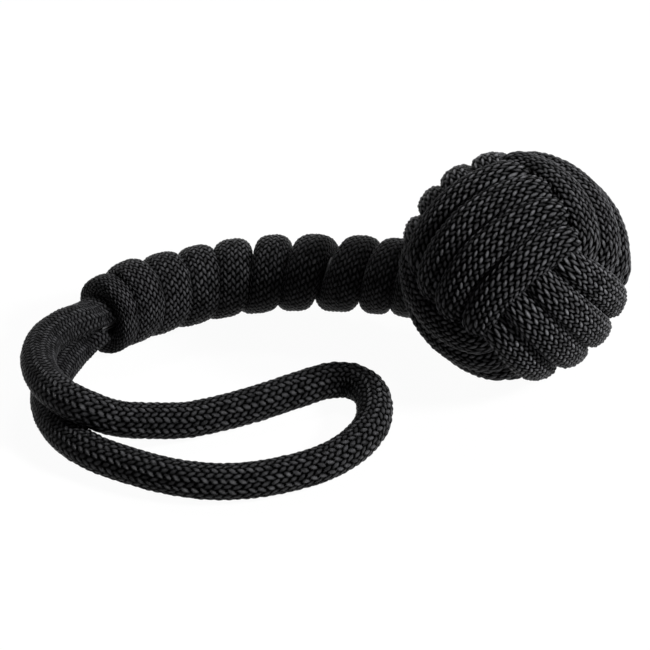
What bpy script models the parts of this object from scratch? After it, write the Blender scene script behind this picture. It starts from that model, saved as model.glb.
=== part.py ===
"""Monkey fist knot with a wrapped shank and a hand loop, tied in one length of black cord.

A steel ball sits inside the fist. Three rounds of four turns each cross over and under one
another round it. The two strands that leave the fist are the core of the shank, which the same
cord is wrapped round nine times. The strands come out at the shank's mouth as the hand loop,
which lies folded back beside the shank.

Metres, +Z up. The knot lies on the plane z = 0, and the origin is below the middle of its box.
"""

from math import acos, asin, cos, hypot, pi, radians, sin, sqrt

import bmesh
import bpy
import numpy as np

# Cord: its diameter where it hangs free, and the space between two pieces of it
CORD_DIAMETER = 0.0045
GAP = 0.0003

# Fist: the ball inside, and the strands that are pressed flat round it
CORE_BALL_DIAMETER = 0.0160
TURNS_PER_ROUND = 4
# A round's width over the radius at which it crosses over the one below it
ROUND_WIDTH_SHARE = 1.11
FIST_STRAND_THICKNESS = 0.0025
LAYER_GAP = 0.0013
FIST_TURN_GAP = 0.0004
# The turns at a round's edges ride higher: over the round below, and on the ball
EDGE_OVER_LIFT = 0.0006
EDGE_UNDER_LIFT = 0.00015
# A turn dives under the next round between these angles, inside and outside its edge
DIVE_OUTSIDE = radians(19)
DIVE_INSIDE = radians(21)
EDGE_DIVE_INSIDE = radians(13)
SHIFT_ANGLE = radians(26)
# Directions of the three rounds' poles: the fist as it lies, turned to show three faces
FIRST_POLE = np.array([-0.397, -0.553, 0.732])
SECOND_POLE = np.array([0.554, -0.781, -0.290])

# Shank: turns of flattened cord round the two core strands
COIL_TURNS = 9
COIL_DIAMETER = 0.0096
COIL_STRAND_THICKNESS = 0.00235
COIL_STRAND_WIDTH = 0.00325
COIL_TURN_GAP = 0.00135
COIL_END_GAP = 0.0006
CORE_STRAND_GAP = 0.00025
NECK_GAP = 0.0004

# Turns at which the shank bends, counted from the mouth: the joints lie past these turns
MOUTH_BEND_TURN = 1
SHANK_BEND_TURN = 5
NECK_BEND_TURN = 8

# Loop: how far from the mouth it starts, and how thin its ends are where they come out
LOOP_START = 0.0010
LOOP_END_SHARE = 0.42
LOOP_TAPER = 0.0040

# Middle of the shank from its mouth to the fist: x, y, and how far it has risen
SHANK_ROUTE = [
    (-0.0303, 0.0089, 0.0000),
    (-0.0265, 0.0122, 0.0000),
    (-0.0227, 0.0148, 0.0002),
    (-0.0186, 0.0167, 0.0004),
    (-0.0144, 0.0180, 0.0007),
    (-0.0102, 0.0185, 0.0011),
    (-0.0059, 0.0184, 0.0016),
    (-0.0017, 0.0177, 0.0021),
    (0.0025, 0.0165, 0.0028),
    (0.0067, 0.0150, 0.0035),
    (0.0108, 0.0132, 0.0042),
]

# Middle of the loop from the upper strand to the lower one: x, y, and its height over the
# place where it would lie flat, counted in cord diameters
LOOP_ROUTE = [
    (-0.0319, 0.0066, 1.02),
    (-0.0341, 0.0043, 1.08),
    (-0.0358, 0.0014, 1.08),
    (-0.0362, -0.0023, 1.08),
    (-0.0353, -0.0061, 1.08),
    (-0.0332, -0.0093, 1.05),
    (-0.0298, -0.0111, 0.86),
    (-0.0260, -0.0111, 0.50),
    (-0.0216, -0.0099, 0.23),
    (-0.0172, -0.0086, 0.06),
    (-0.0126, -0.0066, 0.00),
    (-0.0079, -0.0043, 0.00),
    (-0.0035, -0.0018, 0.00),
    (0.0000, 0.0000, 0.00),
    (0.0028, 0.0001, 0.00),
    (0.0050, -0.0018, 0.00),
    (0.0059, -0.0051, 0.00),
    (0.0054, -0.0096, 0.00),
    (0.0029, -0.0141, 0.00),
    (-0.0011, -0.0176, 0.00),
    (-0.0060, -0.0198, 0.00),
    (-0.0107, -0.0209, 0.00),
    (-0.0155, -0.0208, 0.00),
    (-0.0202, -0.0196, 0.00),
    (-0.0248, -0.0175, 0.00),
    (-0.0291, -0.0149, 0.00),
    (-0.0323, -0.0116, 0.00),
    (-0.0343, -0.0077, 0.00),
    (-0.0351, -0.0033, 0.00),
    (-0.0346, 0.0010, 0.00),
    (-0.0333, 0.0046, 0.02),
    (-0.0320, 0.0071, 0.08),
]

# How finely the solids are cut
RING_STEPS = 32
COIL_STEPS = 16
CORE_STEP = 0.0030
LOOP_STEP = 0.0030
SECTION_CORNER = 0.35

COIL_RADIUS = COIL_DIAMETER / 2
BORE_RADIUS = COIL_RADIUS - COIL_STRAND_THICKNESS
COIL_PITCH = COIL_STRAND_WIDTH + COIL_TURN_GAP
COIL_LENGTH = COIL_TURNS * COIL_PITCH + COIL_STRAND_WIDTH
UNDER_RADIUS = CORE_BALL_DIAMETER / 2 + GAP + FIST_STRAND_THICKNESS / 2
OVER_RADIUS = UNDER_RADIUS + FIST_STRAND_THICKNESS + LAYER_GAP
ROUND_WIDTH = OVER_RADIUS * ROUND_WIDTH_SHARE
ROUND_HALF_ANGLE = asin(ROUND_WIDTH_SHARE / 2)
FIST_PITCH = ROUND_WIDTH / TURNS_PER_ROUND
FIST_STRAND_WIDTH = FIST_PITCH - FIST_TURN_GAP
FIST_RADIUS = OVER_RADIUS + EDGE_OVER_LIFT + FIST_STRAND_THICKNESS / 2
WORLD_UP = np.array([0.0, 0.0, 1.0])


def unit(v):
    return v / np.linalg.norm(v)


def clear_scene():
    for obj in list(bpy.data.objects):
        bpy.data.objects.remove(obj, do_unlink=True)


def material(name, colour, roughness, metallic=0.0):
    mat = bpy.data.materials.new(name)
    mat.use_nodes = True
    shader = mat.node_tree.nodes["Principled BSDF"]
    shader.inputs["Base Color"].default_value = (*colour, 1.0)
    shader.inputs["Roughness"].default_value = roughness
    shader.inputs["Metallic"].default_value = metallic
    return mat


def add_mesh(name, verts, faces, mat):
    mesh = bpy.data.meshes.new(name)
    mesh.from_pydata([tuple(v) for v in verts], [], faces)
    bm = bmesh.new()
    bm.from_mesh(mesh)
    bmesh.ops.recalc_face_normals(bm, faces=bm.faces)
    bm.to_mesh(mesh)
    bm.free()
    mesh.materials.append(mat)
    mesh.shade_smooth()
    mesh.set_sharp_from_angle(angle=radians(50))
    obj = bpy.data.objects.new(name, mesh)
    bpy.context.collection.objects.link(obj)
    return obj


def flat_section(width, thickness):
    """Eight corners of a flattened strand: x across it, y through it."""
    x, y = width / 2, thickness / 2
    c = SECTION_CORNER
    return [(x, -c * y), (x, c * y), (c * x, y), (-c * x, y), (-x, c * y), (-x, -c * y), (-c * x, -y), (c * x, -y)]


def sweep(name, centres, sides, ups, section, mat):
    """A closed solid whose section is carried along the centres, with a flat cap at each end."""
    verts = [c + x * s + y * u for c, s, u in zip(centres, sides, ups) for x, y in section]
    n = len(section)
    last = (len(centres) - 1) * n
    faces = [list(range(n)), list(range(last + n - 1, last - 1, -1))]
    for ring in range(len(centres) - 1):
        for k in range(n):
            a, b = ring * n + k, ring * n + (k + 1) % n
            faces.append([b, a, a + n, b + n])
    return add_mesh(name, verts, faces, mat)


def carried_frames(place_at, values, step=0.01):
    """Centres, sides and ups along a strand. place_at gives the strand's middle and the outward
    direction there for an angle, and up is as close to outward as a square section can have it."""
    centres, sides, ups = [], [], []
    for value in values:
        centre, outward = place_at(value)
        tangent = unit(place_at(value + step)[0] - place_at(value - step)[0])
        up = unit(outward - (outward @ tangent) * tangent)
        centres.append(centre)
        sides.append(np.cross(tangent, up))
        ups.append(up)
    return centres, sides, ups


def ease(t):
    t = min(max(t, 0.0), 1.0)
    return t * t * (3 - 2 * t)


class SmoothLine:
    """A smooth curve through route points, read by the distance along it."""

    def __init__(self, points, per_span=24):
        p = np.array(points, float)
        p = np.vstack([2 * p[0] - p[1], p, 2 * p[-1] - p[-2]])
        found = []
        for a, b, c, d in zip(p[:-3], p[1:-2], p[2:-1], p[3:]):
            for t in np.arange(per_span) / per_span:
                bend = (2 * a - 5 * b + 4 * c - d) * t * t + (3 * b - a - 3 * c + d) * t**3
                found.append(0.5 * (2 * b + (c - a) * t + bend))
        found.append(p[-2])
        self.points = np.array(found)
        steps = np.linalg.norm(np.diff(self.points, axis=0), axis=1)
        self.along = np.concatenate([[0.0], np.cumsum(steps)])
        self.length = self.along[-1]
        self.end_direction = unit(self.points[-1] - self.points[-2])

    def at(self, s):
        """The point at distance s; past the end the line runs on straight."""
        inside = min(s, self.length)
        point = np.array([np.interp(inside, self.along, self.points[:, k]) for k in range(3)])
        return point + (s - inside) * self.end_direction

    def direction(self, s, step=0.0006):
        return unit(self.at(s + step) - self.at(max(s - step, 0.0)))


def shank_line():
    return SmoothLine([(x, y, COIL_RADIUS + rise) for x, y, rise in SHANK_ROUTE])


def shank_frame(line, s):
    """The shank's place, its sideways direction away from the loop, and its upward direction."""
    forward = line.direction(s)
    away = unit(np.cross(WORLD_UP, forward))
    return line.at(s), away, np.cross(forward, away)


def fist_centre(line):
    """The fist touches the table, and its skin stands a neck's gap from the shank's last turn."""
    end = line.at(COIL_LENGTH)
    reach = FIST_RADIUS + NECK_GAP
    rise = FIST_RADIUS - end[2]
    level = sqrt(reach * reach - rise * rise)
    heading = line.direction(COIL_LENGTH)
    flat = hypot(heading[0], heading[1])
    return end + np.array([heading[0] / flat * level, heading[1] / flat * level, rise])


def round_axes():
    """For each round: the pole it crosses over, the pole it runs under, and its width direction."""
    over = unit(FIRST_POLE)
    side = unit(SECOND_POLE - over * (over @ SECOND_POLE))
    third = np.cross(over, side)
    return [(over, third, side), (third, side, over), (side, over, third)]


def turn_place(axes, index, angle):
    """The middle of one turn of a round, from the fist's centre. The angle starts at the pole
    where the next round hides the turn, and there it shifts half a pitch to meet its neighbour."""
    over, under, across = axes
    offset = (index - (TURNS_PER_ROUND - 1) / 2) * FIST_PITCH
    at_edge = index in (0, TURNS_PER_ROUND - 1)
    bottom = UNDER_RADIUS + (EDGE_UNDER_LIFT if at_edge else 0.0)
    top = OVER_RADIUS + (EDGE_OVER_LIFT if at_edge else 0.0)
    inside = EDGE_DIVE_INSIDE if at_edge else DIVE_INSIDE
    from_under = acos(min(abs(cos(angle)), 1.0))
    climb = ease((from_under - ROUND_HALF_ANGLE + inside) / (inside + DIVE_OUTSIDE))
    radius = bottom + (top - bottom) * climb
    if index > 0:
        offset -= FIST_PITCH / 2 * (1 - ease(angle / SHIFT_ANGLE))
    if index < TURNS_PER_ROUND - 1:
        offset += FIST_PITCH / 2 * (1 - ease((2 * pi - angle) / SHIFT_ANGLE))
    flat = sqrt(radius * radius - offset * offset)
    return flat * (cos(angle) * under + sin(angle) * over) + offset * across


def turn_angles(index):
    """A round's first turn starts, and its last one ends, where it would turn in to the ball."""
    trim = COIL_END_GAP / 2 / UNDER_RADIUS
    first = SHIFT_ANGLE if index == 0 else trim
    last = 2 * pi - (SHIFT_ANGLE if index == TURNS_PER_ROUND - 1 else trim)
    return np.linspace(first, last, RING_STEPS + 1)


def make_fist(centre, cord, steel):
    ball = bmesh.new()
    bmesh.ops.create_icosphere(ball, subdivisions=3, radius=CORE_BALL_DIAMETER / 2)
    mesh = bpy.data.meshes.new("core_ball")
    ball.to_mesh(mesh)
    ball.free()
    mesh.materials.append(steel)
    mesh.shade_smooth()
    core = bpy.data.objects.new("core_ball", mesh)
    core.location = centre
    bpy.context.collection.objects.link(core)
    section = flat_section(FIST_STRAND_WIDTH, FIST_STRAND_THICKNESS)
    for name, axes in zip(("first", "second", "third"), round_axes()):
        for index in range(TURNS_PER_ROUND):

            def place_at(angle):
                from_centre = turn_place(axes, index, angle)
                return centre + from_centre, from_centre

            strand = carried_frames(place_at, turn_angles(index))
            sweep(f"{name}_round_turn_{index + 1}", *strand, section, cord)


def make_coil(line, cord):
    """The wrapped turns: from the bottom up the near side, over the top and down the far side."""
    radius = COIL_RADIUS - COIL_STRAND_THICKNESS / 2
    section = flat_section(COIL_STRAND_WIDTH, COIL_STRAND_THICKNESS)
    trim = COIL_END_GAP / 2 / radius

    def place_at(angle):
        place, away, up = shank_frame(line, COIL_STRAND_WIDTH / 2 + angle / (2 * pi) * COIL_PITCH)
        outward = -cos(angle) * up - sin(angle) * away
        return place + radius * outward, outward

    for turn in range(COIL_TURNS):
        start = 2 * pi * turn
        angles = np.linspace(start + trim, start + 2 * pi - trim, COIL_STEPS + 1)
        sweep(f"coil_turn_{turn + 1}", *carried_frames(place_at, angles), section, cord)


def half_round(radius):
    """A D-shaped section whose flat side faces the strand below it."""
    low = asin(CORE_STRAND_GAP / 2 / radius)
    return [(radius * cos(a), radius * sin(a)) for a in np.linspace(low, pi - low, 7)]


def bend_place(turn):
    """Distance along the shank to the joint past a turn; 0 stands for the mouth."""
    return COIL_STRAND_WIDTH / 2 + turn * COIL_PITCH


def make_core_strands(line, cord):
    """The two strands inside the coil, pressed into half rounds and cut where the shank bends."""
    upper = half_round(BORE_RADIUS - GAP)
    lower = [(-x, -y) for x, y in upper]
    half_gap = COIL_END_GAP / 2
    stretches = [
        ("mouth", half_gap, bend_place(MOUTH_BEND_TURN) - half_gap),
        ("front", bend_place(MOUTH_BEND_TURN) + half_gap, bend_place(SHANK_BEND_TURN) - half_gap),
        ("back", bend_place(SHANK_BEND_TURN) + half_gap, bend_place(NECK_BEND_TURN) - half_gap),
        ("neck", bend_place(NECK_BEND_TURN) + half_gap, COIL_LENGTH),
    ]
    for where, start, end in stretches:
        count = max(3, round((end - start) / CORE_STEP) + 1)
        frames = [shank_frame(line, s) for s in np.linspace(start, end, count)]
        centres = [place for place, _, _ in frames]
        sides = [away for _, away, _ in frames]
        ups = [up for _, _, up in frames]
        sweep(f"core_strand_upper_{where}", centres, sides, ups, upper, cord)
        sweep(f"core_strand_lower_{where}", centres, sides, ups, lower, cord)


def make_loop(line, cord):
    """The free loop: it comes out of the mouth thin, swells to the cord's full size, and lies
    folded back beside the shank, its upper strand crossing over the lower one."""
    mouth, _, up = shank_frame(line, 0.0)
    out = -line.direction(0.0)
    start = mouth + out * LOOP_START + up * BORE_RADIUS / 2
    end = mouth + out * LOOP_START - up * BORE_RADIUS / 2
    radius = CORD_DIAMETER / 2
    laid = [(x, y, radius + lift * CORD_DIAMETER) for x, y, lift in LOOP_ROUTE]
    route = SmoothLine([start, *laid, end])
    count = round(route.length / LOOP_STEP) + 1
    curve = bpy.data.curves.new("hand_loop", "CURVE")
    curve.dimensions = "3D"
    curve.bevel_depth = radius
    curve.bevel_resolution = 3
    curve.use_fill_caps = True
    spline = curve.splines.new("POLY")
    spline.points.add(count - 1)
    for point, s in zip(spline.points, np.linspace(0.0, route.length, count)):
        point.co = (*route.at(s), 1.0)
        from_end = min(s, route.length - s)
        point.radius = LOOP_END_SHARE + (1 - LOOP_END_SHARE) * ease(from_end / LOOP_TAPER)
    curve.materials.append(cord)
    obj = bpy.data.objects.new("hand_loop", curve)
    bpy.context.collection.objects.link(obj)


def main():
    clear_scene()
    cord = material("black_nylon_cord", (0.012, 0.012, 0.013), 0.62)
    steel = material("bright_steel", (0.62, 0.62, 0.62), 0.25, 1.0)
    line = shank_line()
    make_fist(fist_centre(line), cord, steel)
    make_coil(line, cord)
    make_core_strands(line, cord)
    make_loop(line, cord)


main()
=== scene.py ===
from math import pi, radians

import bpy
import numpy as np
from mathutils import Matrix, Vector


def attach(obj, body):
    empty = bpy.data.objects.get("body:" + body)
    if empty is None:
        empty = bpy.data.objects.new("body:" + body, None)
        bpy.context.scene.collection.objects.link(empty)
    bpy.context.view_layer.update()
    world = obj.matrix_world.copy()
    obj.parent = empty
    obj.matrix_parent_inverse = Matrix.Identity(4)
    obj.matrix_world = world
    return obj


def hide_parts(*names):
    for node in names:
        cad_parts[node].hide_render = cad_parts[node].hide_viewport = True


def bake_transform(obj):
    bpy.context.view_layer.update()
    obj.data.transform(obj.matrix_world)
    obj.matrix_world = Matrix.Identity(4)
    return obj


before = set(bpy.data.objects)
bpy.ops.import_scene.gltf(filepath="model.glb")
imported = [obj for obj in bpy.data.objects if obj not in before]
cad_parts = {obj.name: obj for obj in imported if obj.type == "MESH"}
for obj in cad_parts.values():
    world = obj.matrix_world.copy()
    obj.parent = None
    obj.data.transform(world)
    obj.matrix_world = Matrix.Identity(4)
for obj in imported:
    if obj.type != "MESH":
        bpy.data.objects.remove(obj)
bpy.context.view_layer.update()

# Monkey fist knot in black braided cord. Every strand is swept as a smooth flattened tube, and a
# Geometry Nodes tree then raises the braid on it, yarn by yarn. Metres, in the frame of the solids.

# The cord where it is free, and its braid: two families of yarns that cross one over one under.
# Columns are counted round the cord, and a chevron is one step of the braid along it
CORD_DIAMETER = 0.0045
BRAID_COLUMNS = 24
COIL_COLUMNS = 28
LOOP_COLUMNS = 20
FIST_CHEVRON = 0.00097
COIL_CHEVRON = 0.00104
FREE_CHEVRON = 0.00106
# Near both of its ends the loop's braid is pushed together: shorter steps and flatter yarns
LOOP_ROOT_CHEVRON = 0.00058
LOOP_ROOT_LOFT = 0.60
LOOP_ROOT_REACH = 0.020
LOOP_ROOT_RUN_OUT = 0.012

# One yarn: how far it swings over and under, how far it is crowned, what share of its lane it
# fills, and how deep and how steep the gap beside it is
YARN_SWING = 0.00014
YARN_CROWN = 0.00018
YARN_FILL = 0.76
COIL_YARN_FILL = 0.80
LOOP_YARN_FILL = 0.84
YARN_GAP_DROP = 0.00020
GAP_STEEPNESS = 6.0
# This share of the braid's height stands out of the smooth strand, and the rest is cut into it
CREST_SHARE = 0.30
# The braid's height on the tight wraps and on the loop, beside its height on the fist
COIL_RELIEF = 0.50
LOOP_RELIEF = 0.80
# How the yarns stray: sideways by a share of a column, and up and down. The scales are per metre
STRAY_SCALE = 480.0
YARN_STRAY = 0.6
UNEVEN_SCALE = 1000.0
YARN_UNEVEN = 0.00015

# One family of yarns is painted darker than the other, as painted shade beside the glint that the
# other family catches. The sign says which one, and the brighter one also stands a little higher
PAINTED_SHADE_STRENGTH = 0.6
YARN_LEAD = 0.30
PAINTED_SHADE_YARNS = {"first": -0.60, "second": -0.45, "third": 0.55}
PAINTED_SHADE_YARNS_OF_COIL = 0.10
PAINTED_SHADE_YARNS_OF_LOOP = 0.35
# Painted light and shade: one cord, painted lighter or darker on each round, the wraps and the loop
ROUND_PAINTED_LIGHT = {"first": 0.86, "second": 0.88, "third": 1.20}
COIL_PAINTED_SHADE = 0.58
LOOP_PAINTED_SHADE = 0.52

# How fine the meshes are: rings along a chevron, and points round a ring, which gather towards the
# strand's outer side by the crowding
RINGS_PER_CHEVRON = 6.5
COIL_RINGS_PER_CHEVRON = 5.5
LOOP_RINGS_PER_CHEVRON = 5.2
POINTS_AROUND = 96
COIL_POINTS_AROUND = 112
LOOP_POINTS_AROUND = 104
POINT_CROWDING = 0.4
SECTION_SAMPLES = 361
STRAND_SAMPLES = 1500
LOOP_SAMPLES = 6000
LOOP_PATH_POINTS = 60

WHITE = (1.0, 1.0, 1.0, 1.0)
BLACK = (0.0, 0.0, 0.0, 1.0)
# Black nylon: a yarn's colour from its crest to a small share of the braid's depth, and painted shade,
# near black, in the gaps from a larger share on. Its sheen fades out in the same way, as painted shade
NYLON_ROUGHNESS = 0.30
NYLON_SPECULAR = 0.05
YARN_COLOUR = (0.050, 0.050, 0.053, 1.0)
PAINTED_GAP_SHADE = (0.0003, 0.0003, 0.0003, 1.0)
COLOUR_FADES = (0.06, 0.50)
SHEEN_FADES = (0.10, 0.46)
# Mottling: noise between the first two values gives tones between the second two
MOTTLE_SCALE = 1100.0
MOTTLE_DETAIL = 4.0
MOTTLE_NOISE = (0.32, 0.68)
MOTTLE_TONES = (0.40, 2.2)
# The filaments in a yarn, too fine for the mesh, and the fuzz on them
FILAMENTS_ACROSS_YARN = 7
FILAMENT_SHARE = 0.35
FUZZ_SCALE = 6000.0
FUZZ_DETAIL = 1.0
FILAMENT_STRENGTH = 0.8
FILAMENT_HEIGHT = 0.00012
# Pieces that the cord hides
CORE_NYLON = {"colour": (0.010, 0.010, 0.011, 1.0), "metallic": 0.0, "roughness": 0.60}
CORE_STEEL = {"colour": (0.62, 0.62, 0.62, 1.0), "metallic": 1.0, "roughness": 0.25}

# Fist: four turns a round, three rounds over and under one another. A turn runs at the over radius
# where it is seen and dives to the under radius where the other rounds cross it
FIST_CENTRE = np.array([0.02365, 0.0075, 0.0147])
FIRST_POLE = np.array([-0.397, -0.553, 0.732])
SECOND_POLE = np.array([0.554, -0.781, -0.290])
TURNS_PER_ROUND = 4
FIST_OVER_PITCH = 0.0043
FIST_UNDER_PITCH = 0.0034
FIST_OVER_RADIUS = 0.01290
FIST_UNDER_RADIUS = 0.0096
FIST_WIDTH_TO_PITCH = 1.08
FIST_HALF_THICKNESS = 0.00178
FIST_SQUARENESS = 2.3
DIVE_START = radians(22)
DIVE_END = radians(54)
# Over this angle a turn shifts half a pitch towards the next, and a joined end stops just short
SHIFT_ANGLE = radians(26)
JOINED_END_ANGLE = 0.02
# How far a round bends sideways where it runs under the others
ROUND_BOWS = {"first": 0.0016, "second": 0.0005, "third": -0.0003}

# Shank: nine wraps round two strands. They are fuller near the mouth, where they hold the loop
COIL_RADIUS = 0.0048
MOUTH_SWELL = 0.0006
MOUTH_RISE = 0.0009
MOUTH_SWELL_FROM = 1.6
MOUTH_SWELL_TURNS = 3.5
BODY_SWELL = 0.0002
BODY_DROP = 0.00015
BODY_SWELL_TURNS = 3.0
# How far along the shank the first wrap starts, and where each wrap crosses the top
FIRST_WRAP_FROM = 0.0010
WRAP_TOPS = [0.0034, 0.0071, 0.0116, 0.0162, 0.0207, 0.0258, 0.0310, 0.0372, 0.0421]
# Each wrap runs square to the shank over its top and slants where it passes its underside
WRAP_BOW = 0.00075
WRAP_BOW_START = 0.097
# A wrap's width beside the pitch there, its section, and how far it bulges out
WRAP_WIDTHS = [1.10, 1.12, 1.11, 1.13, 1.06, 0.93, 0.87, 0.88, 0.94]
WRAP_SQUARENESS = 2.8
WRAP_BULGE_AT_MOUTH = 0.0015
WRAP_BULGE_AT_FIST = 0.0026
WRAP_INNER_HALF = 0.0009
# The last wrap runs on under the fist by this part of a turn
COIL_TUCK = 0.45

# What each wrap is given: one body that it moves with, or two bodies with two distances along the shank,
# which are not used to bend it
AT_MOUTH_JOINT = (("mouth", "shank_front"), 0.0035, 0.0075)
ON_SHANK_FRONT = ("shank_front", None, None)
AT_MIDDLE_JOINT = (("shank_front", "shank_back"), 0.0210, 0.0265)
ON_SHANK_BACK = ("shank_back", None, None)
AT_NECK_JOINT = (("shank_back", "neck"), 0.0370, 0.0415)
WRAP_CARRIERS = [
    AT_MOUTH_JOINT, AT_MOUTH_JOINT, ON_SHANK_FRONT, ON_SHANK_FRONT, AT_MIDDLE_JOINT, AT_MIDDLE_JOINT,
    ON_SHANK_BACK, AT_NECK_JOINT, AT_NECK_JOINT,
]

# The loop's two legs, flattened one on the other where they go into the shank's mouth
LEG_REACH = 0.0022
LEG_RISE = 0.00140
LEG_HALF_THICKNESS = 0.00160
LEG_SPREAD = 1.20
LEG_FLATTENED = 0.0045
# Two places on the loop, given for a bend where it swings in the mouth, past the second of which it would
# swing fully; no bend is built from them
LOOP_BEND_START = (-0.0295, 0.0106, 0.0048)
LOOP_BEND_END = (-0.0295, 0.0062, 0.0048)

# Camera as the photograph was taken: from the front, looking down by 35 degrees
CAMERA_PLACE = (-0.00031, -0.40634, 0.29539)
CAMERA_TILT = radians(55)
CAMERA_LENS = 219.6
CAMERA_SENSOR = 36.0

# Room: a plain white table, a plain even room light, and three softboxes, each with its place,
# what it points at, its size and its power
ROOM_LIGHT = 0.065
TABLE_SIDE = 3.0
TABLE_TOP = -0.0001
TABLE_COLOUR = (0.60, 0.60, 0.60, 1.0)
TABLE_ROUGHNESS = 0.9
TABLE_WHITE_SHARE = 0.96
LAMPS = {
    "right_softbox": ((0.50, -0.13, 0.36), (0.0, 0.0, 0.02), (0.12, 0.12), 11.0),
    "left_softbox": ((-0.50, -0.10, 0.30), (0.0, 0.0, 0.02), (0.12, 0.12), 0.25),
    "back_softbox": ((0.05, 0.30, 0.50), (0.0, 0.0, 0.0), (0.15, 0.10), 2.2),
}

# Middle of the shank from the mouth to the fist: place, and rise over a shank that lies on the table
SHANK_ROUTE = [
    (-0.0303, 0.0089, 0.0000),
    (-0.0265, 0.0122, 0.0000),
    (-0.0227, 0.0148, 0.0002),
    (-0.0186, 0.0167, 0.0004),
    (-0.0144, 0.0180, 0.0007),
    (-0.0102, 0.0185, 0.0011),
    (-0.0059, 0.0184, 0.0016),
    (-0.0017, 0.0177, 0.0021),
    (0.0025, 0.0165, 0.0028),
    (0.0067, 0.0150, 0.0035),
    (0.0108, 0.0132, 0.0042),
]

# Middle of the loop's cord from one leg to the other: place, and lift off the table in cord diameters
LOOP_ROUTE = [
    (-0.0319, 0.0066, 1.02),
    (-0.0341, 0.0043, 1.08),
    (-0.0358, 0.0014, 1.08),
    (-0.0362, -0.0023, 1.08),
    (-0.0353, -0.0061, 1.08),
    (-0.0332, -0.0093, 1.05),
    (-0.0298, -0.0111, 0.86),
    (-0.0260, -0.0111, 0.50),
    (-0.0216, -0.0099, 0.23),
    (-0.0172, -0.0086, 0.06),
    (-0.0126, -0.0066, 0.00),
    (-0.0079, -0.0043, 0.00),
    (-0.0035, -0.0018, 0.00),
    (0.0000, 0.0000, 0.00),
    (0.0028, 0.0001, 0.00),
    (0.0050, -0.0018, 0.00),
    (0.0059, -0.0051, 0.00),
    (0.0054, -0.0096, 0.00),
    (0.0029, -0.0141, 0.00),
    (-0.0011, -0.0176, 0.00),
    (-0.0060, -0.0198, 0.00),
    (-0.0107, -0.0209, 0.00),
    (-0.0155, -0.0208, 0.00),
    (-0.0202, -0.0196, 0.00),
    (-0.0248, -0.0175, 0.00),
    (-0.0291, -0.0149, 0.00),
    (-0.0323, -0.0116, 0.00),
    (-0.0343, -0.0077, 0.00),
    (-0.0351, -0.0033, 0.00),
    (-0.0346, 0.0010, 0.00),
    (-0.0333, 0.0046, 0.02),
    (-0.0320, 0.0071, 0.08),
]


def linked(obj):
    bpy.context.scene.collection.objects.link(obj)
    return obj


def unit(v):
    return v / np.linalg.norm(v, axis=-1, keepdims=True)


def ease(t):
    t = np.clip(t, 0.0, 1.0)
    return t * t * (3 - 2 * t)


def on_curve(a, b, c, d, t):
    """The place at share t from b to c, on a smooth curve that passes a, b, c and d."""
    bend = (2 * a - 5 * b + 4 * c - d) * t**2 + (3 * b - a - 3 * c + d) * t**3
    return 0.5 * (2 * b + (c - a) * t + bend)


class SmoothLine:
    """A smooth curve along route points, read by the distance along it."""

    def __init__(self, points, per_span=40, smoothing=30):
        p = np.array(points, float)
        p = np.vstack([2 * p[0] - p[1], p, 2 * p[-1] - p[-2]])
        found = []
        for a, b, c, d in zip(p[:-3], p[1:-2], p[2:-1], p[3:]):
            for t in np.arange(per_span) / per_span:
                found.append(on_curve(a, b, c, d, t))
        found.append(p[-2])
        q = np.array(found)
        for _ in range(smoothing):
            q[1:-1] = 0.25 * q[:-2] + 0.5 * q[1:-1] + 0.25 * q[2:]
        self.points = q
        steps = np.linalg.norm(np.diff(q, axis=0), axis=1)
        self.along = np.concatenate([[0.0], np.cumsum(steps)])
        self.length = self.along[-1]
        self.first_direction = unit(q[1] - q[0])
        self.last_direction = unit(q[-1] - q[-2])

    def at(self, s):
        """Points at distances s; past either end the line runs on straight."""
        s = np.atleast_1d(s)
        inside = np.clip(s, 0.0, self.length)
        got = np.stack([np.interp(inside, self.along, self.points[:, k]) for k in range(3)], -1)
        early = np.minimum(s, 0.0)[:, None] * self.first_direction
        late = np.maximum(s - self.length, 0.0)[:, None] * self.last_direction
        return got + early + late

    def direction(self, s, step=0.0006):
        """The line's direction at distances s, taken over a short stretch of it."""
        s = np.atleast_1d(s)
        return unit(self.at(s + step) - self.at(s - step))


def evenly_spaced(place_at, first, last, spacing):
    """Parameter values between first and last whose places are evenly spaced."""
    values = np.linspace(first, last, STRAND_SAMPLES)
    places = place_at(values)
    run = np.concatenate([[0.0], np.cumsum(np.linalg.norm(np.diff(places, axis=0), axis=1))])
    count = max(3, int(round(run[-1] / spacing)) + 1)
    return np.interp(np.linspace(0.0, run[-1], count), run, values)


def math_in(nodes, links):
    """Gives a function that adds a math node for an operation on numbers or sockets."""
    def math(operation, *values):
        node = nodes.new("ShaderNodeMath")
        node.operation = operation
        for value, socket in zip(values, node.inputs):
            if isinstance(value, (int, float)):
                socket.default_value = value
            else:
                links.new(value, socket)
        return node.outputs[0]

    return math


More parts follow.
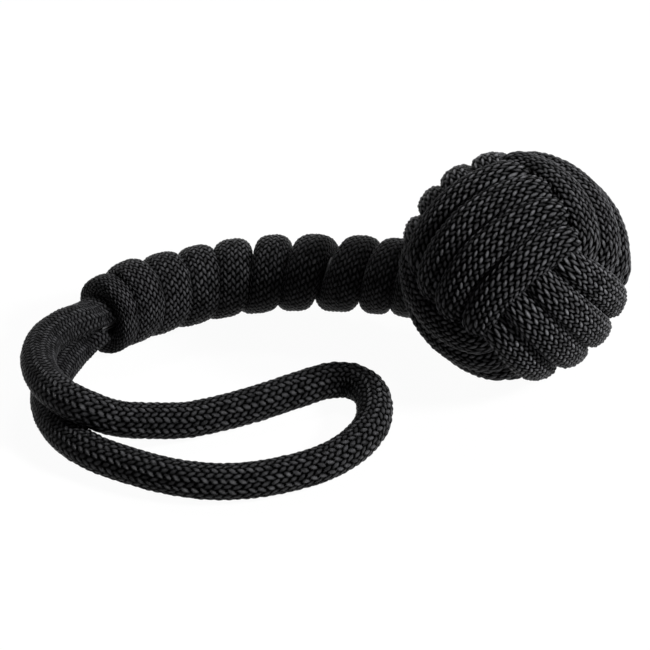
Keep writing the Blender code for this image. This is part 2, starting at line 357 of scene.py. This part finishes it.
def braid_tree():
    """Raises two families of yarns that cross one over one under. Each point keeps how deep it lies
    below the braid's crest, how far across its yarn it lies, and its yarn's painted light and shade."""
    tree = bpy.data.node_groups.new("braided_sheath", "GeometryNodeTree")
    face = tree.interface
    face.new_socket("Geometry", in_out="INPUT", socket_type="NodeSocketGeometry")
    sizes = {"Columns": BRAID_COLUMNS, "Yarn swing": YARN_SWING, "Yarn crown": YARN_CROWN,
             "Yarn fill": YARN_FILL, "Painted shade yarns": 0.0, "Painted light": 1.0}
    for name, value in sizes.items():
        socket = face.new_socket(name, in_out="INPUT", socket_type="NodeSocketFloat")
        socket.default_value = value
    face.new_socket("Material", in_out="INPUT", socket_type="NodeSocketMaterial")
    face.new_socket("Geometry", in_out="OUTPUT", socket_type="NodeSocketGeometry")
    nodes, links = tree.nodes, tree.links
    into = nodes.new("NodeGroupInput")
    out = nodes.new("NodeGroupOutput")

    math = math_in(nodes, links)

    def attribute(name):
        node = nodes.new("GeometryNodeInputNamedAttribute")
        node.data_type = "FLOAT"
        node.inputs["Name"].default_value = name
        return node.outputs[0]

    def noise(scale):
        node = nodes.new("ShaderNodeTexNoise")
        node.inputs["Scale"].default_value = scale
        node.inputs["Detail"].default_value = 0.0
        links.new(position, node.inputs["Vector"])
        return node

    # Where a point lies in the braid, counted in columns round and chevrons along
    position = nodes.new("GeometryNodeInputPosition").outputs[0]
    stray = nodes.new("ShaderNodeSeparateXYZ")
    links.new(noise(STRAY_SCALE).outputs["Color"], stray.inputs[0])
    u_stray, v_stray = (math("MULTIPLY", math("SUBTRACT", axis, 0.5), YARN_STRAY)
                        for axis in stray.outputs[:2])
    u = math("ADD", math("MULTIPLY", attribute("around"), into.outputs["Columns"]), u_stray)
    v = math("ADD", math("MULTIPLY", attribute("along"), 2.0), v_stray)
    highest_swing = math("MULTIPLY", attribute("loft"), into.outputs["Yarn swing"])
    swing = math("MULTIPLY", math("COSINE", math("MULTIPLY", u, pi)), highest_swing)
    lead = math("MULTIPLY", math("MULTIPLY", into.outputs["Painted shade yarns"], -YARN_LEAD), highest_swing)

    # The height of each family there, and the distance from the middle of its yarn
    heights, across = [], []
    for operation, sign in (("SUBTRACT", 1.0), ("ADD", -1.0)):
        lane = math("FRACT", math("ADD", math("MULTIPLY", math(operation, v, u), 0.5), 0.5))
        t = math("DIVIDE", math("SUBTRACT", math("MULTIPLY", lane, 2.0), 1.0), into.outputs["Yarn fill"])
        crown = math("SQRT", math("MAXIMUM", math("SUBTRACT", 1.0, math("MULTIPLY", t, t)), 0.0))
        past_edge = math("MAXIMUM", math("SUBTRACT", math("ABSOLUTE", t), 1.0), 0.0)
        gap = math("MINIMUM", math("MULTIPLY", past_edge, GAP_STEEPNESS), 1.0)
        carried = math("MULTIPLY", math("ADD", swing, lead), sign)
        raised = math("MULTIPLY_ADD", crown, into.outputs["Yarn crown"], carried)
        heights.append(math("SUBTRACT", raised, math("MULTIPLY", gap, YARN_GAP_DROP)))
        across.append(t)

    # The upper family is what shows
    top = math("MAXIMUM", *heights)
    crest = math("ADD", math("ADD", into.outputs["Yarn crown"], highest_swing), math("ABSOLUTE", lead))
    drop = math("SUBTRACT", crest, top)
    depth = math("DIVIDE", drop, crest)
    uneven = math("MULTIPLY", math("SUBTRACT", noise(UNEVEN_SCALE).outputs[0], 0.5), YARN_UNEVEN)
    relief = math("ADD", math("SUBTRACT", math("MULTIPLY", crest, CREST_SHARE), drop), uneven)
    first_shows = math("GREATER_THAN", heights[0], heights[1])
    upper = nodes.new("GeometryNodeSwitch")
    upper.input_type = "FLOAT"
    links.new(first_shows, upper.inputs["Switch"])
    links.new(across[1], upper.inputs["False"])
    links.new(across[0], upper.inputs["True"])
    side = math("SUBTRACT", math("MULTIPLY", first_shows, 2.0), 1.0)
    # Painted shade on one family of yarns, times the piece's painted light and shade
    painted_darkness = math("MAXIMUM", math("MULTIPLY", side, into.outputs["Painted shade yarns"]), 0.0)
    light_share = math("SUBTRACT", 1.0, math("MULTIPLY", painted_darkness, PAINTED_SHADE_STRENGTH))
    painted_light = math("MULTIPLY", light_share, into.outputs["Painted light"])
    noted = into.outputs["Geometry"]
    for name, value in (("yarn_depth", depth), ("yarn_across", upper.outputs[0]), ("yarn_painted_light", painted_light)):
        keep = nodes.new("GeometryNodeStoreNamedAttribute")
        keep.data_type = "FLOAT"
        keep.domain = "POINT"
        keep.inputs["Name"].default_value = name
        links.new(noted, keep.inputs["Geometry"])
        links.new(value, keep.inputs["Value"])
        noted = keep.outputs["Geometry"]

    # The sheath's surface moves out or in by that height
    scale = nodes.new("ShaderNodeVectorMath")
    scale.operation = "SCALE"
    links.new(nodes.new("GeometryNodeInputNormal").outputs[0], scale.inputs[0])
    links.new(relief, scale.inputs["Scale"])
    move = nodes.new("GeometryNodeSetPosition")
    links.new(noted, move.inputs["Geometry"])
    links.new(scale.outputs[0], move.inputs["Offset"])
    real = nodes.new("GeometryNodeRealizeInstances")
    links.new(move.outputs[0], real.inputs[0])
    paint = nodes.new("GeometryNodeSetMaterial")
    links.new(real.outputs[0], paint.inputs["Geometry"])
    links.new(into.outputs["Material"], paint.inputs["Material"])
    links.new(paint.outputs[0], out.inputs[0])
    return tree


def nylon_material():
    """Black nylon: each yarn softly glossy on its crest, with painted shade, black and without sheen, where
    it goes under the next.
    """
    mat = bpy.data.materials.new("black_nylon_braid")
    mat.use_nodes = True
    nodes, links = mat.node_tree.nodes, mat.node_tree.links
    shader = nodes["Principled BSDF"]
    shader.inputs["Roughness"].default_value = NYLON_ROUGHNESS
    shader.inputs["Specular IOR Level"].default_value = NYLON_SPECULAR
    math = math_in(nodes, links)
    place = nodes.new("ShaderNodeTexCoord")

    def noise(scale, detail):
        node = nodes.new("ShaderNodeTexNoise")
        node.inputs["Scale"].default_value = scale
        node.inputs["Detail"].default_value = detail
        links.new(place.outputs["Object"], node.inputs["Vector"])
        return node.outputs[0]

    def attribute(name):
        node = nodes.new("ShaderNodeAttribute")
        node.attribute_name = name
        return node.outputs["Fac"]

    def fade(by, positions, colours):
        node = nodes.new("ShaderNodeValToRGB")
        for element, position, colour in zip(node.color_ramp.elements, positions, colours):
            element.position = position
            element.color = colour
        links.new(by, node.inputs["Fac"])
        return node.outputs["Color"]

    depth = attribute("yarn_depth")
    mottle = nodes.new("ShaderNodeMapRange")
    for name, value in zip(("From Min", "From Max", "To Min", "To Max"), MOTTLE_NOISE + MOTTLE_TONES):
        mottle.inputs[name].default_value = value
    links.new(noise(MOTTLE_SCALE, MOTTLE_DETAIL), mottle.inputs["Value"])
    toned = nodes.new("ShaderNodeVectorMath")
    toned.operation = "SCALE"
    # Painted shade: near black in the gaps, scaled by the mottling and the yarn's painted light and shade
    links.new(fade(depth, COLOUR_FADES, (YARN_COLOUR, PAINTED_GAP_SHADE)), toned.inputs[0])
    links.new(math("MULTIPLY", mottle.outputs[0], attribute("yarn_painted_light")), toned.inputs["Scale"])
    links.new(toned.outputs[0], shader.inputs["Base Color"])
    # Painted shade on the reflections: the sheen fades out towards the gaps
    links.new(fade(depth, SHEEN_FADES, (WHITE, BLACK)), shader.inputs["Specular Tint"])

    filaments = math("SINE", math("MULTIPLY", attribute("yarn_across"), FILAMENTS_ACROSS_YARN * pi))
    bump = nodes.new("ShaderNodeBump")
    bump.inputs["Strength"].default_value = FILAMENT_STRENGTH
    bump.inputs["Distance"].default_value = FILAMENT_HEIGHT
    height = math("MULTIPLY_ADD", filaments, FILAMENT_SHARE, noise(FUZZ_SCALE, FUZZ_DETAIL))
    links.new(height, bump.inputs["Height"])
    links.new(bump.outputs["Normal"], shader.inputs["Normal"])
    return mat


def plain_material(name, colour, metallic, roughness):
    mat = bpy.data.materials.new(name)
    mat.use_nodes = True
    shader = mat.node_tree.nodes["Principled BSDF"]
    shader.inputs["Base Color"].default_value = colour
    shader.inputs["Metallic"].default_value = metallic
    shader.inputs["Roughness"].default_value = roughness
    return mat


BRAID = braid_tree()
NYLON = nylon_material()
HIDDEN_NYLON = plain_material("black_nylon_core", **CORE_NYLON)
STEEL = plain_material("bright_steel_ball", **CORE_STEEL)


def mark_rims_sharp(mesh, first_rim, last_rim):
    """Keeps the shading of the walls and of the end caps apart."""
    ends = np.empty(2 * len(mesh.edges), dtype=np.int32)
    mesh.edges.foreach_get("vertices", ends)
    ends = ends.reshape(-1, 2)
    sharp = np.isin(ends, first_rim).all(1) | np.isin(ends, last_rim).all(1)
    mesh.attributes.new("sharp_edge", "BOOLEAN", "EDGE").data.foreach_set("value", sharp)


def sheath(name, centres, outwards, half_width, outer_half, inner_half, chevron, squareness=2.0,
           around_count=POINTS_AROUND, start_along=0.0, loft=1.0, crowding=POINT_CROWDING):
    """One stretch of smooth cord, closed at both ends, which keeps where each point lies in the
    braid: a share round it and chevrons along it. outwards points through its thickness, and the
    seam of its braid lies on the opposite side. Its section bulges by outer_half outwards and by
    inner_half back. Gives the mesh and the number of chevrons at its last ring."""
    n = len(centres)
    tangents = unit(np.gradient(centres, axis=0))
    ups = unit(outwards - (outwards * tangents).sum(1, keepdims=True) * tangents)
    sides = np.cross(tangents, ups)

    def at_each_ring(value):
        return np.broadcast_to(np.asarray(value, float), n)

    # Sections as fine outlines from the seam round to the seam, then points along them
    angle = np.linspace(-pi / 2, 1.5 * pi, SECTION_SAMPLES)
    power = 2.0 / squareness
    c, s = np.cos(angle), np.sin(angle)
    half_height = np.where(s > 0, at_each_ring(outer_half)[:, None], at_each_ring(inner_half)[:, None])
    x = at_each_ring(half_width)[:, None] * (np.sign(c) * np.abs(c) ** power)
    y = half_height * (np.sign(s) * np.abs(s) ** power)
    arc = np.cumsum(np.hypot(np.diff(x, axis=1), np.diff(y, axis=1)), axis=1)
    arc = np.concatenate([np.zeros((n, 1)), arc], axis=1)
    k = np.arange(around_count) / around_count
    share = k + crowding / (2 * pi) * np.sin(2 * pi * k)
    rings = np.empty((n, around_count, 3))
    for i in range(n):
        target = share * arc[i, -1]
        xi = np.interp(target, arc[i], x[i])
        yi = np.interp(target, arc[i], y[i])
        rings[i] = centres[i] + xi[:, None] * sides[i] + yi[:, None] * ups[i]

    # Walls between the rings, and a fan round a middle point at each end
    ring = np.arange(around_count)
    nxt = (ring + 1) % around_count
    base = np.arange(n - 1)[:, None] * around_count
    walls = np.stack([base + ring, base + around_count + ring, base + around_count + nxt, base + nxt], -1)
    total = n * around_count
    last = total - around_count
    first_cap = np.stack([ring, nxt, np.full(around_count, total)], -1)
    last_cap = np.stack([last + nxt, last + ring, np.full(around_count, total + 1)], -1)
    points = np.concatenate([rings.reshape(-1, 3), centres[:1], centres[-1:]])
    faces = walls.reshape(-1, 4).tolist() + first_cap.tolist() + last_cap.tolist()
    mesh = bpy.data.meshes.new(name)
    mesh.from_pydata(points.tolist(), [], faces)
    mark_rims_sharp(mesh, ring, last + ring)

    steps = np.concatenate([[0.0], np.linalg.norm(np.diff(centres, axis=0), axis=1)])
    along = start_along + np.cumsum(steps / chevron)
    lofts = at_each_ring(loft)
    for label, on_rings, in_caps in (("around", np.tile(share, n), (0.5, 0.5)),
                                     ("along", np.repeat(along, around_count), along[[0, -1]]),
                                     ("loft", np.repeat(lofts, around_count), lofts[[0, -1]])):
        layer = mesh.attributes.new(label, "FLOAT", "POINT")
        layer.data.foreach_set("value", np.concatenate([on_rings, in_caps]).astype(np.float32))
    return mesh, along[-1]


def raise_braid(name, mesh, relief=1.0, painted_shade=0.0, columns=BRAID_COLUMNS, fill=YARN_FILL, painted_light=1.0):
    """Runs the braid tree over a smooth sheath and bakes the result to a plain mesh object."""
    smooth = linked(bpy.data.objects.new(name + "_smooth", mesh))
    modifier = smooth.modifiers.new("braid", "NODES")
    modifier.node_group = BRAID
    wanted = {"Yarn swing": YARN_SWING * relief, "Yarn crown": YARN_CROWN * relief, "Painted shade yarns": painted_shade,
              "Columns": float(columns), "Yarn fill": fill, "Painted light": painted_light, "Material": NYLON}
    for item in BRAID.interface.items_tree:
        if item.item_type == "SOCKET" and item.in_out == "INPUT" and item.name in wanted:
            modifier[item.identifier] = wanted[item.name]
    graph = bpy.context.evaluated_depsgraph_get()
    baked = bpy.data.meshes.new_from_object(smooth.evaluated_get(graph))
    baked.name = name
    bpy.data.objects.remove(smooth)
    baked.materials.clear()
    baked.materials.append(NYLON)
    baked.shade_smooth()
    return linked(bpy.data.objects.new(name, baked))


def place_piece(obj, body, node):
    """Dresses the node with a piece that moves with one body."""
    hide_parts(node)
    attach(obj, body)


def bend_piece(obj, bodies, start, end, node):
    """Dresses the node with a piece that stays where it is built and does not bend; bodies, start and end
    are not used.
    """
    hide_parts(node)
    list(bodies)
    tuple(start)
    tuple(end)
    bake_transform(obj)


def round_axes():
    """For each round: where it lies on top, where it runs under, and across its turns."""
    over = unit(FIRST_POLE)
    side = unit(SECOND_POLE - over * (over @ SECOND_POLE))
    third = np.cross(over, side)
    return [(over, third, side), (third, side, over), (side, over, third)]


def fist_pitch(angle):
    return FIST_UNDER_PITCH + (FIST_OVER_PITCH - FIST_UNDER_PITCH) * np.sin(angle) ** 2


def turn_from_centre(angle, index, bow, over, under, across):
    """The middle of one turn of a round, seen from the fist's centre, at angles round it."""
    last_turn = TURNS_PER_ROUND - 1
    angle = np.atleast_1d(angle)
    from_under = np.arccos(np.clip(np.abs(np.cos(angle)), 0.0, 1.0))
    climb = ease((from_under - DIVE_START) / (DIVE_END - DIVE_START))
    radius = FIST_UNDER_RADIUS + (FIST_OVER_RADIUS - FIST_UNDER_RADIUS) * climb
    lane = np.full_like(angle, index - last_turn / 2)
    if index > 0:
        lane = lane - (1 - ease(angle / SHIFT_ANGLE)) / 2
    if index < last_turn:
        lane = lane + (1 - ease((2 * pi - angle) / SHIFT_ANGLE)) / 2
    offset = lane * fist_pitch(angle) + bow * np.cos(angle) ** 2
    level = np.sqrt(radius**2 - offset**2)
    ring = np.cos(angle)[:, None] * under + np.sin(angle)[:, None] * over
    return level[:, None] * ring + offset[:, None] * across


def make_fist():
    for name, axes in zip(("first", "second", "third"), round_axes()):
        for index in range(TURNS_PER_ROUND):
            def from_centre(angle):
                return turn_from_centre(angle, index, ROUND_BOWS[name], *axes)

            first = SHIFT_ANGLE if index == 0 else JOINED_END_ANGLE
            last = 2 * pi - (SHIFT_ANGLE if index == TURNS_PER_ROUND - 1 else JOINED_END_ANGLE)
            angles = evenly_spaced(from_centre, first, last, FIST_CHEVRON / RINGS_PER_CHEVRON)
            out = from_centre(angles)
            half_width = fist_pitch(angles) * FIST_WIDTH_TO_PITCH / 2
            node = f"{name}_round_turn_{index + 1}"
            mesh, _ = sheath("fist_" + node, FIST_CENTRE + out, unit(out), half_width, FIST_HALF_THICKNESS,
                             FIST_HALF_THICKNESS, FIST_CHEVRON, squareness=FIST_SQUARENESS)
            # Painted shade on one family of yarns, and the round's painted light and shade
            turn = raise_braid("fist_" + node, mesh, painted_shade=PAINTED_SHADE_YARNS[name], painted_light=ROUND_PAINTED_LIGHT[name])
            place_piece(turn, "fist", node)


def wrap_place(turns):
    """How far along the shank the wrapped strand is after so many turns."""
    tops = np.array(WRAP_TOPS)
    tops = np.concatenate([[FIRST_WRAP_FROM], tops, [2 * tops[-1] - tops[-2]]])
    at = np.arange(-0.5, len(WRAP_TOPS) + 1.0)
    turns = np.atleast_1d(turns)
    k = np.clip(np.floor(turns - at[0]).astype(int), 1, len(tops) - 3)
    return on_curve(tops[k - 1], tops[k], tops[k + 1], tops[k + 2], turns - at[k])


def make_coil(line):
    """The wraps, one strand that winds round the shank's line from its mouth to the fist."""
    wraps = len(WRAP_TOPS)

    def bulge(turns):
        return WRAP_BULGE_AT_MOUTH + (WRAP_BULGE_AT_FIST - WRAP_BULGE_AT_MOUTH) * ease(2 * turns / wraps)

    def middle(turns):
        turns = np.atleast_1d(turns)
        angle = 2 * pi * turns
        s = wrap_place(turns) + WRAP_BOW * np.sin(2 * pi * (turns - WRAP_BOW_START))
        forward = line.direction(s)
        away = unit(np.cross(np.array([0.0, 0.0, 1.0]), forward))
        up = np.cross(forward, away)
        outward = -np.cos(angle)[:, None] * up - np.sin(angle)[:, None] * away
        near_mouth = ease(turns / MOUTH_SWELL_FROM) * (1 - ease(turns / MOUTH_SWELL_TURNS))
        past_mouth = ease(turns / BODY_SWELL_TURNS)
        radius = COIL_RADIUS + MOUTH_SWELL * near_mouth + BODY_SWELL * past_mouth
        lifted = line.at(s) + (MOUTH_RISE * near_mouth - BODY_DROP * past_mouth)[:, None] * up
        return lifted + (radius - bulge(turns))[:, None] * outward, outward

    along = 0.0
    for turn in range(wraps):
        last = turn + 1 + (COIL_TUCK if turn == wraps - 1 else 0.0)
        chevron = COIL_CHEVRON * (1 - bulge(turn + 0.5) / COIL_RADIUS)
        turns = evenly_spaced(lambda q: middle(q)[0], turn, last, chevron / COIL_RINGS_PER_CHEVRON)
        centres, outward = middle(turns)
        fill = np.interp(turns, np.arange(wraps) + 0.5, WRAP_WIDTHS)
        half_width = (wrap_place(turns + 0.5) - wrap_place(turns - 0.5)) * fill / 2
        name = f"wrap_{turn + 1}"
        mesh, along = sheath(name, centres, outward, half_width, bulge(turns), WRAP_INNER_HALF, chevron,
                             squareness=WRAP_SQUARENESS, around_count=COIL_POINTS_AROUND, start_along=along)
        # Painted shade on one family of yarns, and the wraps' painted shade
        wrap = raise_braid(name, mesh, relief=COIL_RELIEF, painted_shade=PAINTED_SHADE_YARNS_OF_COIL, columns=COIL_COLUMNS,
                           fill=COIL_YARN_FILL, painted_light=COIL_PAINTED_SHADE)
        node = f"coil_turn_{turn + 1}"
        carriers, bend_from, bend_to = WRAP_CARRIERS[turn]
        if bend_from is None:
            place_piece(wrap, carriers, node)
        else:
            bend_piece(wrap, carriers, line.at(bend_from)[0], line.at(bend_to)[0], node)


def make_loop(line):
    """The hand loop, flattened in both legs at the shank's mouth and round from there on."""
    radius = CORD_DIAMETER / 2
    up = np.array([0.0, 0.0, 1.0])
    middle = [line.at(LEG_REACH)[0], line.at(0.0)[0]]
    upper = [place + up * LEG_RISE for place in middle]
    lower = [place - up * LEG_RISE for place in reversed(middle)]
    laid = [(x, y, radius + lift * CORD_DIAMETER) for x, y, lift in LOOP_ROUTE]
    route = SmoothLine([*upper, *laid, *lower])
    s = np.linspace(0.0, route.length, LOOP_SAMPLES)
    tight = 1 - ease((np.minimum(s, route.length - s) - LOOP_ROOT_REACH) / LOOP_ROOT_RUN_OUT)
    chevron = FREE_CHEVRON + (LOOP_ROOT_CHEVRON - FREE_CHEVRON) * tight
    run = np.concatenate([[0.0], np.cumsum(np.diff(s) / chevron[1:])])
    wanted = np.linspace(0.0, run[-1], int(run[-1] * LOOP_RINGS_PER_CHEVRON))
    s, chevron = np.interp(wanted, run, s), np.interp(wanted, run, chevron)
    centres = route.at(s)
    tangents = unit(np.gradient(centres, axis=0))
    ups = np.cross(np.cross(tangents, up), tangents)
    free = ease((np.minimum(s, route.length - s) - LEG_REACH) / LEG_FLATTENED)
    half_thick = LEG_HALF_THICKNESS + (radius - LEG_HALF_THICKNESS) * free
    half_width = radius * (LEG_SPREAD + (1 - LEG_SPREAD) * free)
    spread = (chevron - LOOP_ROOT_CHEVRON) / (FREE_CHEVRON - LOOP_ROOT_CHEVRON)
    loft = LOOP_ROOT_LOFT + (1 - LOOP_ROOT_LOFT) * spread
    mesh, _ = sheath("loop_cord", centres, unit(ups), half_width, half_thick, half_thick, chevron,
                     around_count=LOOP_POINTS_AROUND, loft=loft, crowding=0.0)
    # Painted shade on one family of yarns, and the loop's painted shade
    loop = raise_braid("loop_cord", mesh, relief=LOOP_RELIEF, painted_shade=PAINTED_SHADE_YARNS_OF_LOOP, columns=LOOP_COLUMNS,
                       fill=LOOP_YARN_FILL, painted_light=LOOP_PAINTED_SHADE)
    bend_piece(loop, ("mouth", "loop"), LOOP_BEND_START, LOOP_BEND_END, "hand_loop")
    path = [tuple(p) for p in route.at(np.linspace(0.0, route.length, LOOP_PATH_POINTS))]
    tuple(upper[0])


def add_camera():
    data = bpy.data.cameras.new("photo_camera")
    data.sensor_width = CAMERA_SENSOR
    data.lens = CAMERA_LENS
    camera = linked(bpy.data.objects.new("photo_camera", data))
    camera.location = CAMERA_PLACE
    camera.rotation_euler = (CAMERA_TILT, 0.0, 0.0)
    bpy.context.scene.camera = camera


def add_lamps():
    for name, (place, target, size, power) in LAMPS.items():
        data = bpy.data.lights.new(name, "AREA")
        data.shape = "RECTANGLE"
        data.size, data.size_y = size
        data.energy = power
        lamp = linked(bpy.data.objects.new(name, data))
        lamp.location = place
        lamp.rotation_euler = (Vector(target) - Vector(place)).to_track_quat("-Z", "Y").to_euler()


def seen_as_white(nodes, links):
    """One where a ray comes from the camera, a reflection or glass, else zero."""
    math = math_in(nodes, links)
    ray = nodes.new("ShaderNodeLightPath").outputs
    seen = math("MAXIMUM", ray["Is Camera Ray"], ray["Is Glossy Ray"])
    return math("MAXIMUM", seen, ray["Is Transmission Ray"])


def add_room():
    """An even white room that shows at full strength and lights the object only softly."""
    world = bpy.data.worlds.new("studio")
    bpy.context.scene.world = world
    world.use_nodes = True
    nodes, links = world.node_tree.nodes, world.node_tree.links
    strength = nodes.new("ShaderNodeMapRange")
    strength.inputs["To Min"].default_value = ROOM_LIGHT
    strength.inputs["To Max"].default_value = 1.0
    links.new(seen_as_white(nodes, links), strength.inputs["Value"])
    links.new(strength.outputs[0], nodes["Background"].inputs["Strength"])
    nodes["Background"].inputs["Color"].default_value = WHITE


def add_table():
    """A table that shows almost as white as the room and keeps a trace of the object's shadow."""
    half = TABLE_SIDE / 2
    corners = [(-half, -half, 0), (half, -half, 0), (half, half, 0), (-half, half, 0)]
    mesh = bpy.data.meshes.new("table")
    mesh.from_pydata(corners, [], [(0, 1, 2, 3)])
    table = linked(bpy.data.objects.new("table", mesh))
    table.location = (0.0, 0.0, TABLE_TOP)
    mat = bpy.data.materials.new("white_table")
    mat.use_nodes = True
    nodes, links = mat.node_tree.nodes, mat.node_tree.links
    shader = nodes["Principled BSDF"]
    shader.inputs["Base Color"].default_value = TABLE_COLOUR
    shader.inputs["Roughness"].default_value = TABLE_ROUGHNESS
    shader.inputs["Specular IOR Level"].default_value = 0.0
    white = nodes.new("ShaderNodeEmission")
    share = math_in(nodes, links)("MULTIPLY", seen_as_white(nodes, links), TABLE_WHITE_SHARE)
    mix = nodes.new("ShaderNodeMixShader")
    links.new(share, mix.inputs["Fac"])
    links.new(shader.outputs[0], mix.inputs[1])
    links.new(white.outputs[0], mix.inputs[2])
    links.new(mix.outputs[0], nodes["Material Output"].inputs["Surface"])
    mesh.materials.append(mat)


shank = SmoothLine([(x, y, COIL_RADIUS + rise) for x, y, rise in SHANK_ROUTE])
add_camera()
make_loop(shank)
make_coil(shank)
make_fist()
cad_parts["core_ball"].data.materials.clear()
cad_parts["core_ball"].data.materials.append(STEEL)
for label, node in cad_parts.items():
    if label.startswith("core_strand"):
        node.material_slots[0].material = HIDDEN_NYLON
add_room()
add_table()
add_lamps()
scene = bpy.context.scene
scene.view_settings.view_transform = "Standard"
